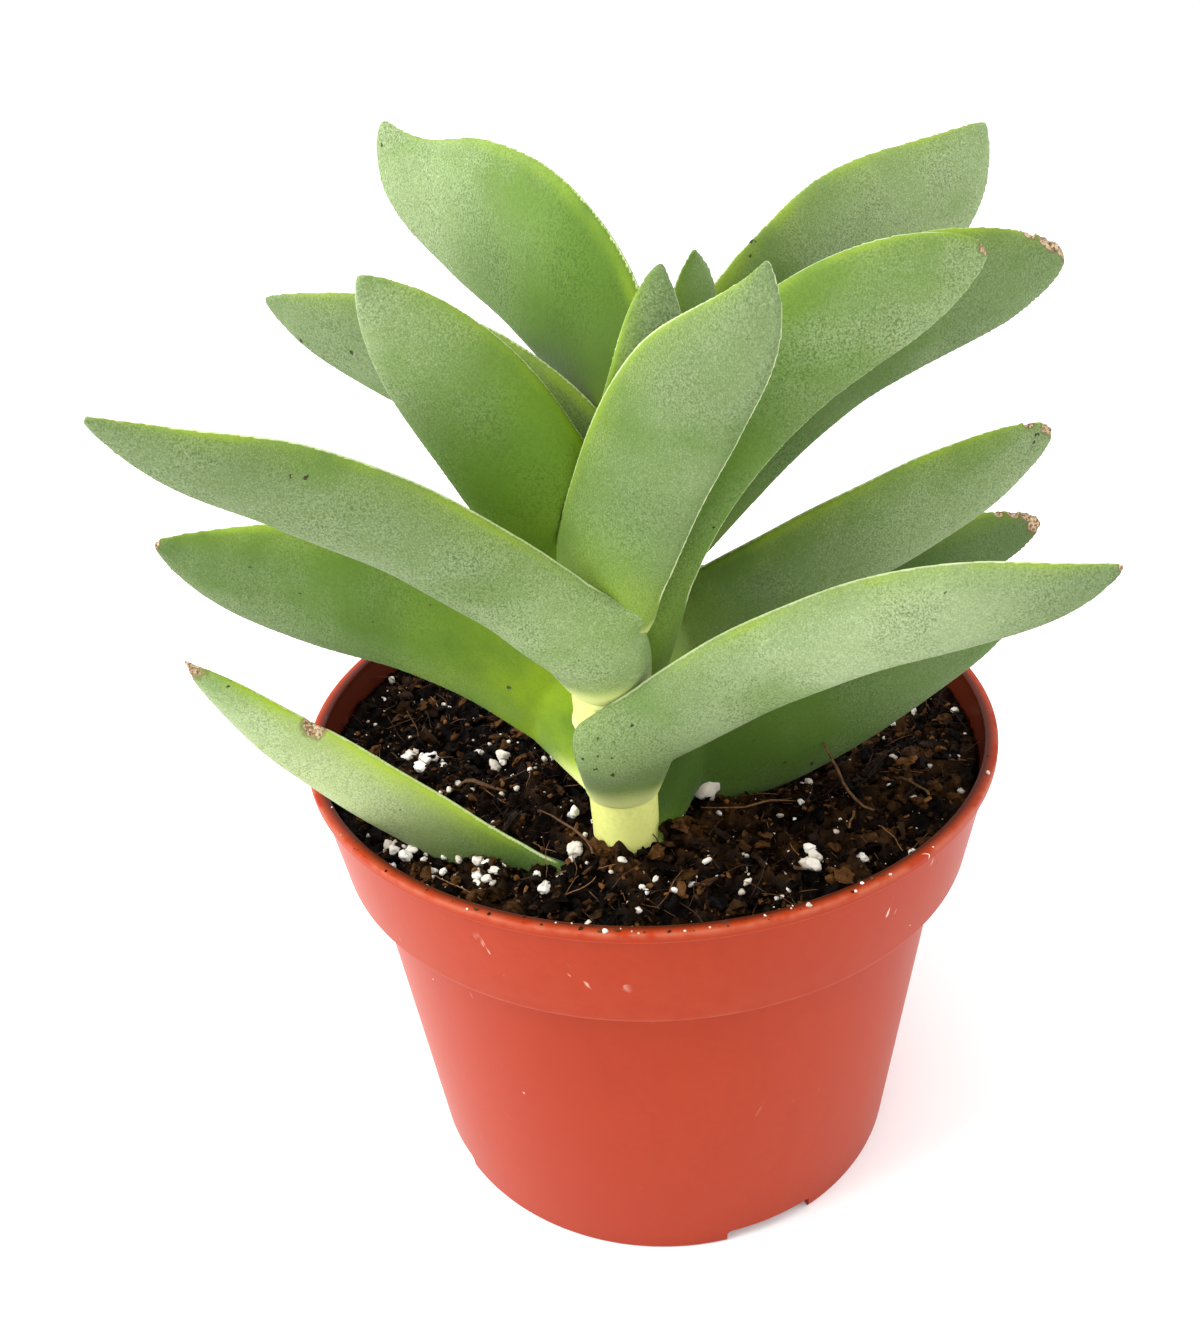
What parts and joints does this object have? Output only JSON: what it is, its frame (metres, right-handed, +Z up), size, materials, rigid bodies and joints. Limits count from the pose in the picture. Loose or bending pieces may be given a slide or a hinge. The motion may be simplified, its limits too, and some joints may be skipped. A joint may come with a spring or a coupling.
{
  "type": "potted succulent",
  "caption": "Leafy succulent with long sickle-shaped leaves in clasping pairs on a short stem, growing off-centre in potting mix in a round nursery pot.",
  "frame": {"origin": "middle of the footprint of the whole thing (pot and leaves), at the level of the pot's foot", "axes": "+Z up, +X to the right and +Y away from the viewer, as in the picture"},
  "size_m": [0.1364, 0.114, 0.1751],
  "materials": {
    "pot": "thin moulded plastic, terracotta orange-red, low sheen, light scuffs on the rim band",
    "potting_mix": "dark moist peat with reddish bark fibres and white mineral grains",
    "stem": "smooth pale yellow-green stem",
    "leaf": "fleshy grey-green leaf with a fine darker mottle, a pale rim line and some brown corky tips"
  },
  "bodies": {
    "root": {"pot": "pot", "potting_mix": "potting_mix", "stem": "stem", "leaf_01": "leaf", "leaf_02": "leaf", "leaf_03": "leaf", "leaf_04": "leaf", "leaf_05": "leaf", "leaf_06": "leaf", "leaf_07": "leaf", "leaf_08": "leaf", "leaf_09": "leaf", "leaf_10": "leaf", "leaf_11": "leaf", "leaf_12": "leaf", "leaf_13": "leaf", "leaf_14": "leaf", "leaf_15": "leaf", "leaf_16": "leaf"}
  },
  "joints": []
}
